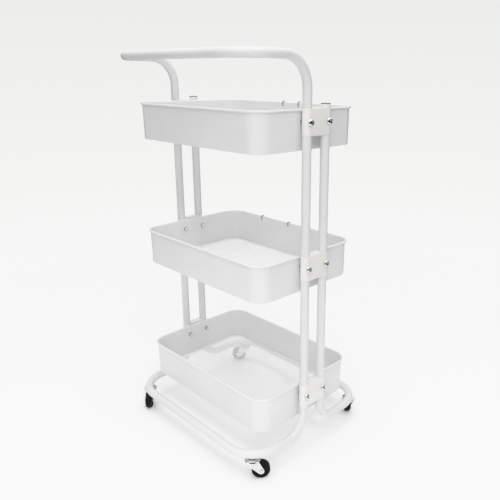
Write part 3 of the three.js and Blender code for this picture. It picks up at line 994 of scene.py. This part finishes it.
def caster_fork_mesh(trail, axle_z):
    """A pressed fork: a round plate, and two cheeks bent down from it that taper to the axle."""
    hub = (trail, axle_z)
    front = (-CHEEK_HALF_TOP, PLATE_HIGH - CHEEK_SKIRT)
    back = (CHEEK_HALF_TOP, PLATE_HIGH)
    start = touch_angle(front, hub, CHEEK_END_R, 1)
    stop = touch_angle(back, hub, CHEEK_END_R, -1) + 2 * math.pi
    cheek = [(-CHEEK_HALF_TOP, PLATE_HIGH), front]
    cheek += arc_points(hub, CHEEK_END_R, start, stop - start, 18)
    cheek += [back]
    side_view = pushed(cheek, -CHEEK_OUT, CHEEK_OUT)
    stand = Matrix(((1, 0, 0, 0), (0, 0, -1, 0), (0, 1, 0, 0), (0, 0, 0, 1)))
    section = rounded([
        (-CHEEK_OUT, 0, 0),
        (-CHEEK_OUT, PLATE_HIGH, CHEEK_BEND_R),
        (CHEEK_OUT, PLATE_HIGH, CHEEK_BEND_R),
        (CHEEK_OUT, 0, 0),
        (CHEEK_IN, 0, 0),
        (CHEEK_IN, PLATE_LOW, PLATE_EDGE_R),
        (-CHEEK_IN, PLATE_LOW, PLATE_EDGE_R),
        (-CHEEK_IN, 0, 0),
    ])
    channel = pushed(section, *CHANNEL_REACH)
    along = Matrix(((0, 0, 1, 0), (1, 0, 0, 0), (0, 1, 0, 0), (0, 0, 0, 1)))
    plate = turned(rounded([
        (AXIS_R, PLATE_LOW, 0),
        (PLATE_R, PLATE_LOW, PLATE_EDGE_R),
        (PLATE_R, PLATE_HIGH, PLATE_EDGE_R),
        (RACE_OUTER_R, PLATE_HIGH, 0.5),
        (RACE_OUTER_R - RACE_SLOPE, PLATE_HIGH - RACE_DEPTH, 0.4),
        (RACE_INNER_R + RACE_SLOPE, PLATE_HIGH - RACE_DEPTH, 0.3),
        (RACE_INNER_R, PLATE_HIGH, 0.3),
        (AXIS_R, PLATE_HIGH, 0),
    ], closed=False), 64)
    axle_hole = Matrix.Translation((trail, 0, axle_z)) @ Matrix.Rotation(math.pi / 2, 4, "X")
    return carve(
        mesh_of(side_view, stand),
        ("INTERSECT", mesh_of(channel, along)),
        ("UNION", mesh_of(plate)),
        ("DIFFERENCE", mesh_of(rod(STEM_R, PLATE_LOW - 3, PLATE_HIGH + 3))),
        ("DIFFERENCE", mesh_of(rod(AXLE_HOLE_R, -THROUGH, THROUGH), axle_hole)),
    )


def caster_wheel_shell(radius):
    """A moulded wheel turned round +Z: hub, dished faces and a round-shouldered tyre."""
    half = [
        (AXLE_HOLE_R, HUB_HALF_WIDTH, 0.3),
        (HUB_R, HUB_HALF_WIDTH, 0.6),
        (HUB_FOOT_R, HUB_FOOT_HALF_WIDTH, 0.6),
        (DISH_R, DISH_HALF_WIDTH, 0.6),
        (TYRE_INNER_R, TYRE_HALF_WIDTH, 0.5),
        (radius - SHOULDER, TYRE_HALF_WIDTH, 1.2),
        (radius, TREAD_HALF_WIDTH, 1.6),
    ]
    section = half + [(r, -z, fillet) for r, z, fillet in reversed(half)]
    return turned(rounded(section), 72, loop=True)


def caster_axle_shell():
    """A rivet turned round +Z, with a low dimpled head outside each cheek."""
    head = CHEEK_OUT + FIT
    half = [
        (AXLE_R, 0, 0),
        (AXLE_R, head, 0),
        (AXLE_HEAD_R, head, 0.2),
        (AXLE_HEAD_R, head + AXLE_HEAD_EDGE, 0.4),
        (AXLE_CROWN_R, head + AXLE_HEAD_CROWN, 0.6),
        (AXLE_DIMPLE_R, head + AXLE_HEAD_TOP, 0.2),
        (AXLE_DIMPLE_FLOOR_R, head + AXLE_HEAD_DIMPLE, 0.1),
        (AXIS_R, head + AXLE_HEAD_DIMPLE, 0),
    ]
    upper = rounded(half, closed=False)
    return turned([(r, -z) for r, z in reversed(upper)] + upper[1:], 40)


def build_casters(plate, rubber):
    swivel = Vector(JOINTS["swivel_front_right"]["pos_m"]) / MM
    axle = Vector(JOINTS["roll_front_right"]["pos_m"]) / MM
    trail = (axle.xy - swivel.xy).length
    stem_mesh = caster_stem_mesh()
    fork_mesh = caster_fork_mesh(trail, axle.z)
    wheel_shell = caster_wheel_shell(axle.z)
    axle_shell = caster_axle_shell()
    lying = Matrix.Rotation(math.pi / 2, 4, "X")
    for end_name, _ in ENDS:
        for side_name, _ in SIDES:
            place = f"{end_name}_{side_name}"
            swivel = Vector(JOINTS[f"swivel_{place}"]["pos_m"]) / MM
            axle = Vector(JOINTS[f"roll_{place}"]["pos_m"]) / MM
            heading = math.atan2(axle.y - swivel.y, axle.x - swivel.x)
            at_swivel = Matrix.Translation((swivel.x, swivel.y, 0)) @ Matrix.Rotation(heading, 4, "Z")
            at_axle = at_swivel @ Matrix.Translation((trail, 0, axle.z)) @ lying
            in_metres = at_swivel.copy()
            in_metres.translation *= MM
            stem = stem_mesh.copy()
            stem.transform(in_metres)
            fork = fork_mesh.copy()
            fork.transform(in_metres)
            fork_body = f"fork_{place}"
            add_piece(f"stem_{place}", stem, plate, node=f"caster_stem_{place}")
            add_piece(f"fork_cheeks_{place}", fork, plate, fork_body, f"caster_fork_{place}")
            add_piece(
                f"axle_rivet_{place}", mesh_of(axle_shell, at_axle), plate,
                fork_body, f"caster_axle_{place}",
            )
            add_piece(
                f"tyre_{place}", mesh_of(wheel_shell, at_axle), rubber,
                f"wheel_{place}", f"caster_wheel_{place}",
            )


# ---- Stage: floor, light and camera ----

FLOOR_HALF = 12
FLOOR_COLOUR = (0.95, 0.95, 0.95, 1)
FLOOR_ROUGHNESS = 0.7
FADE_START = 0.75         # metres from the cart where the floor begins to fade, and where it is gone
FADE_END = 1.7
LIGHT_SKY = (             # from straight down to straight up
    (0.0, (0.1, 0.1, 0.1)),
    (0.48, (0.18, 0.18, 0.18)),
    (0.56, (0.42, 0.42, 0.43)),
    (0.9, (1.0, 1.0, 1.0)),
)
LIGHT_STRENGTH = 1.05
REFLECTED_SKY = (         # what shiny metal sees: a dark horizon under a bright ceiling
    (0.0, (0.05, 0.05, 0.05)),
    (0.5, (0.04, 0.04, 0.04)),
    (0.62, (0.35, 0.35, 0.35)),
    (0.75, (1.6, 1.6, 1.6)),
)
REFLECTED_STRENGTH = 1.1
BACKDROP_SKY = ((0.25, (1.25, 1.25, 1.25)), (0.4, (1.02, 1.025, 1.0)), (0.55, (0.89, 0.895, 0.875)))
BACKDROP_STRENGTH = 1.1
SOFTBOXES = (             # name, place, target, size in metres, power in watts, whether metal mirrors it
    ("overhead_softbox", (0.2, -0.2, 3.2), (0, 0, 0), 2.6, 43, True),
    ("key_lamp", (1.25, -0.72, 1.75), (0.1, -0.1, 0.4), 0.28, 7.5, False),
    ("low_softbox", (0.95, -1.25, 0.5), (0, -0.1, 0.1), 0.8, 7.5, False),
)
FLAG_X = 2.2
FLAG_Y = (-0.9, 2.4)
FLAG_Z = (-0.2, 2.2)
FLAG_BLACK = (0.005, 0.005, 0.005, 1)
TONE_WHITE = 2.5
TONE_CURVE = (            # (light, shown tone)
    (0, 0),
    (0.3, 0.28),
    (0.6, 0.58),
    (0.9, 0.8),
    (1.05, 0.88),
    (1.2, 0.93),
    (1.6, 0.965),
    (TONE_WHITE, 0.985),
)


def build_floor():
    """A pale studio floor that fades into the background far from the cart."""
    mesh = bpy.data.meshes.new("studio_floor")
    half = FLOOR_HALF
    corners = [(-half, -half, 0), (half, -half, 0), (half, half, 0), (-half, half, 0)]
    mesh.from_pydata(corners, [], [(0, 1, 2, 3)])
    floor = bpy.data.objects.new("studio_floor", mesh)
    bpy.context.scene.collection.objects.link(floor)
    material = bpy.data.materials.new("studio_floor")
    material.use_nodes = True
    tree = material.node_tree
    shader = tree.nodes["Principled BSDF"]
    shader.inputs["Base Color"].default_value = FLOOR_COLOUR
    shader.inputs["Roughness"].default_value = FLOOR_ROUGHNESS
    coords = tree.nodes.new("ShaderNodeTexCoord")
    distance = tree.nodes.new("ShaderNodeVectorMath")
    distance.operation = "LENGTH"
    tree.links.new(coords.outputs["Object"], distance.inputs[0])
    fade = tree.nodes.new("ShaderNodeMapRange")
    fade.interpolation_type = "SMOOTHSTEP"
    fade.inputs["From Min"].default_value = FADE_START
    fade.inputs["From Max"].default_value = FADE_END
    tree.links.new(distance.outputs["Value"], fade.inputs["Value"])
    clear = tree.nodes.new("ShaderNodeBsdfTransparent")
    mix = tree.nodes.new("ShaderNodeMixShader")
    tree.links.new(fade.outputs["Result"], mix.inputs["Fac"])
    tree.links.new(shader.outputs["BSDF"], mix.inputs[1])
    tree.links.new(clear.outputs["BSDF"], mix.inputs[2])
    tree.links.new(mix.outputs["Shader"], tree.nodes["Material Output"].inputs["Surface"])
    mesh.materials.append(material)


def build_world():
    """A pale backdrop for the eye, and softer light from the sides than from overhead."""
    world = bpy.data.worlds.new("studio")
    world.use_nodes = True
    tree = world.node_tree
    coords = tree.nodes.new("ShaderNodeTexCoord")
    split = tree.nodes.new("ShaderNodeSeparateXYZ")
    tree.links.new(coords.outputs["Generated"], split.inputs["Vector"])
    rise = tree.nodes.new("ShaderNodeMapRange")
    rise.inputs["From Min"].default_value = -1
    tree.links.new(split.outputs["Z"], rise.inputs["Value"])

    def sky(stops):
        ramp = tree.nodes.new("ShaderNodeValToRGB")
        elements = ramp.color_ramp.elements
        while len(elements) < len(stops):
            elements.new(0.5)
        for element, (position, colour) in zip(elements, stops):
            element.position = position
            element.color = (*colour, 1)
        tree.links.new(rise.outputs["Result"], ramp.inputs["Fac"])
        background = tree.nodes.new("ShaderNodeBackground")
        tree.links.new(ramp.outputs["Color"], background.inputs["Color"])
        return background

    light = sky(LIGHT_SKY)
    light.inputs["Strength"].default_value = LIGHT_STRENGTH
    reflected = sky(REFLECTED_SKY)
    reflected.inputs["Strength"].default_value = REFLECTED_STRENGTH
    backdrop = sky(BACKDROP_SKY)
    backdrop.inputs["Strength"].default_value = BACKDROP_STRENGTH
    path = tree.nodes.new("ShaderNodeLightPath")
    shown = light.outputs["Background"]
    for ray, background in (("Is Glossy Ray", reflected), ("Is Camera Ray", backdrop)):
        mix = tree.nodes.new("ShaderNodeMixShader")
        tree.links.new(path.outputs[ray], mix.inputs["Fac"])
        tree.links.new(shown, mix.inputs[1])
        tree.links.new(background.outputs["Background"], mix.inputs[2])
        shown = mix.outputs["Shader"]
    tree.links.new(shown, tree.nodes["World Output"].inputs["Surface"])
    bpy.context.scene.world = world


def add_softbox(name, location, target, size, power, mirrored):
    """A square lamp that shines at its target. Shiny metal reflects it only if it is mirrored."""
    lamp = bpy.data.lights.new(name, "AREA")
    lamp.shape = "SQUARE"
    lamp.size = size
    lamp.energy = power
    softbox = bpy.data.objects.new(name, lamp)
    softbox.visible_glossy = mirrored
    softbox.location = location
    softbox.rotation_euler = (Vector(target) - Vector(location)).to_track_quat("-Z", "Y").to_euler()
    bpy.context.scene.collection.objects.link(softbox)


def build_lights():
    for softbox in SOFTBOXES:
        add_softbox(*softbox)


def build_flag():
    """A black studio flag beside the cart, which only bright metal sees."""
    mesh = bpy.data.meshes.new("black_flag")
    near, far = FLAG_Y
    low, high = FLAG_Z
    corners = [(FLAG_X, near, low), (FLAG_X, far, low), (FLAG_X, far, high), (FLAG_X, near, high)]
    mesh.from_pydata(corners, [], [(0, 1, 2, 3)])
    material = bpy.data.materials.new("black_flag")
    material.use_nodes = True
    shader = material.node_tree.nodes["Principled BSDF"]
    shader.inputs["Base Color"].default_value = FLAG_BLACK
    mesh.materials.append(material)
    flag = bpy.data.objects.new("black_flag", mesh)
    flag.visible_camera = False
    flag.visible_diffuse = False
    flag.visible_shadow = False
    flag.visible_transmission = False
    bpy.context.scene.collection.objects.link(flag)


def build_exposure():
    """Rolls the brightest tones off softly, so that the floor stays just under white."""
    view = bpy.context.scene.view_settings
    view.view_transform = "Standard"
    view.use_curve_mapping = True
    mapping = view.curve_mapping
    mapping.white_level = (TONE_WHITE,) * 3
    curve = mapping.curves[3]
    for shown, seen in TONE_CURVE[1:-1]:
        curve.points.new(shown / TONE_WHITE, seen)
    curve.points[-1].location = (1, TONE_CURVE[-1][1])
    mapping.update()


CAMERA_AT = (0.9603, -0.8246, 0.8365)
CAMERA_YAW = 43.975           # degrees from +Y towards -X
CAMERA_PITCH = 15.977         # degrees down
CAMERA_ROLL = 0.418
SENSOR = 36
FOCAL = 39.76
SHIFT_X = -0.09
SHIFT_Y = -0.0347
CLIP_NEAR = 0.02
CLIP_FAR = 60


def build_camera():
    yaw = math.radians(CAMERA_YAW)
    pitch = math.radians(CAMERA_PITCH)
    roll = math.radians(CAMERA_ROLL)
    forward = Vector((-math.sin(yaw) * math.cos(pitch), math.cos(yaw) * math.cos(pitch), -math.sin(pitch)))
    level = Vector((math.cos(yaw), math.sin(yaw), 0))
    rise = level.cross(forward)
    right = level * math.cos(roll) + rise * math.sin(roll)
    up = rise * math.cos(roll) - level * math.sin(roll)
    lens = bpy.data.cameras.new("camera")
    lens.sensor_width = SENSOR
    lens.lens = FOCAL
    lens.shift_x = SHIFT_X
    lens.shift_y = SHIFT_Y
    lens.clip_start = CLIP_NEAR
    lens.clip_end = CLIP_FAR
    camera = bpy.data.objects.new("camera", lens)
    facing = Matrix((right, up, -forward)).transposed().to_4x4()
    camera.matrix_world = Matrix.Translation(CAMERA_AT) @ facing
    bpy.context.scene.collection.objects.link(camera)
    bpy.context.scene.camera = camera


build_camera()
build_world()
build_lights()
build_flag()
build_floor()
build_exposure()

# the tubes' coat is darkened below the trays' as painted shade
tube_coat_painted_shade = powder_coat("powder_coat_tubes_painted_shade", TUBE_TONE_PAINTED_SHADE)
build_handle(tube_coat_painted_shade)
build_bases(tube_coat_painted_shade)
build_posts(tube_coat_painted_shade)
build_tray_walls(powder_coat("powder_coat_trays", TRAY_TONE))
build_tray_floors(mesh_coat_painted_light())
ivory = connector_plastic()
build_connectors(ivory)
build_end_caps(cap_plastic())
build_bolts(chrome())
build_hooks(hook_wire())
build_casters(zinc_plate(), black_rubber())
